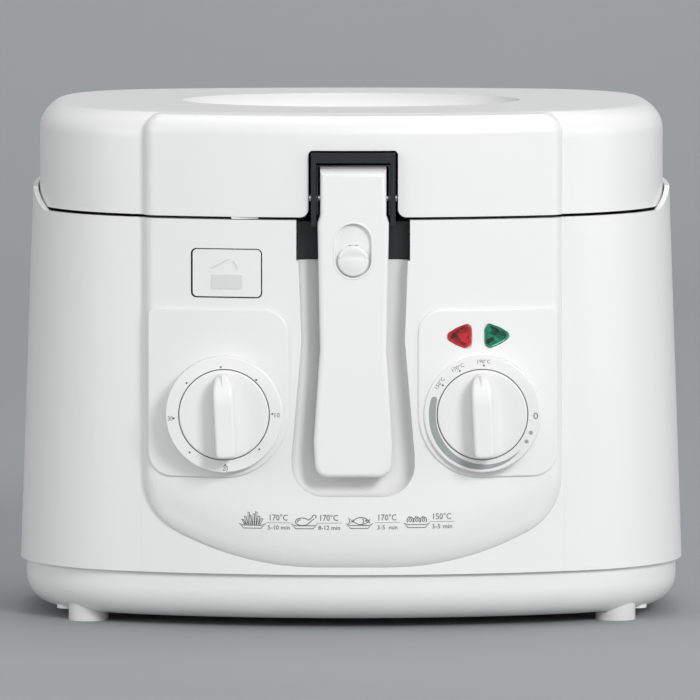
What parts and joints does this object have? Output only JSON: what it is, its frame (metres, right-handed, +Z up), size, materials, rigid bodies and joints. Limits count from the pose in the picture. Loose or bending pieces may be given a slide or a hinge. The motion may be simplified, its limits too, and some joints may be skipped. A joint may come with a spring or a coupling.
{
  "type": "deep fryer",
  "caption": "Electric household deep fryer with hinged lid, fold-down basket handle, timer and thermostat knobs, frying basket in a removable pot and a lid release button.",
  "frame": {"origin": "on the table plane, at the centre of the overall width and depth", "axes": "+Z up, +X to the right as seen from the front, front faces -Y"},
  "size_m": [0.336, 0.276, 0.2586],
  "materials": {
    "white": "satin",
    "white_base": "satin",
    "black": "satin",
    "rubber": "matte",
    "seal": "matte",
    "steel": "brushed",
    "screw": "plain",
    "nonstick": "satin",
    "chrome_wire": "bright",
    "glass": "smoked",
    "red": "clear",
    "green": "clear",
    "control": "plain",
    "filter": "felt",
    "lamp": "clear",
    "galvanised": "plain"
  },
  "bodies": {
    "body": {"housing": "white", "front_panel": "white", "base_tray": "white_base", "feet": "rubber", "base_screws": "screw", "rim_collar": "white", "inner_pot": "nonstick", "heating_element": "steel", "heat_shield": "galvanised", "thermal_fuse": "control", "terminal_block": "control", "cord_gland": "black", "thermostat_body": "control", "thermostat_bulb": "steel", "timer_body": "control", "red_lens": "red", "green_lens": "green", "neon_lamps": "lamp", "hinge_pin": "steel", "basket_mesh": "chrome_wire", "basket_rim": "chrome_wire", "basket_feet": "chrome_wire", "basket_hanger": "chrome_wire", "handle_bracket": "black", "pivot_pin": "steel", "latch_spring": "steel", "spring_seat": "white"},
    "lid": {"lid_cover": "white", "window_glass": "glass", "lid_liner": "white", "lid_seal": "seal", "vent_filter": "filter", "lid_catch": "white"},
    "handle": {"handle_shell": "white", "handle_back": "white"},
    "lock": {"lock_button": "white", "lock_bolt": "steel"},
    "release": {"release_button": "white", "latch_hook": "white"},
    "timer": {"timer_knob": "white", "timer_shaft": "steel"},
    "thermostat": {"thermostat_knob": "white", "thermostat_shaft": "steel"}
  },
  "joints": [
    {"name": "lid_hinge", "type": "hinge", "parent": "body", "child": "lid", "pos_m": [0, 0.133, 0.2166], "axis": [-1, 0, 0], "range_deg": [0, 88]},
    {"name": "handle_fold", "type": "hinge", "parent": "body", "child": "handle", "pos_m": [0, -0.115, 0.2171], "axis": [-1, 0, 0], "range_deg": [0, 90]},
    {"name": "lock_slide", "type": "slide", "parent": "handle", "child": "lock", "axis": [0, 0, 1], "range_m": [0, 0.01]},
    {"name": "release_push", "type": "slide", "parent": "body", "child": "release", "axis": [0, 1, 0], "range_m": [0, 0.004], "stiffness_N_per_m": 500, "deforming": ["latch_spring"]},
    {"name": "timer_turn", "type": "hinge", "parent": "body", "child": "timer", "pos_m": [-0.0645, -0.12, 0.1091], "axis": [0, 1, 0], "range_deg": [0, 270]},
    {"name": "thermostat_turn", "type": "hinge", "parent": "body", "child": "thermostat", "pos_m": [0.0645, -0.12, 0.1091], "axis": [0, -1, 0], "range_deg": [0, 270]}
  ]
}
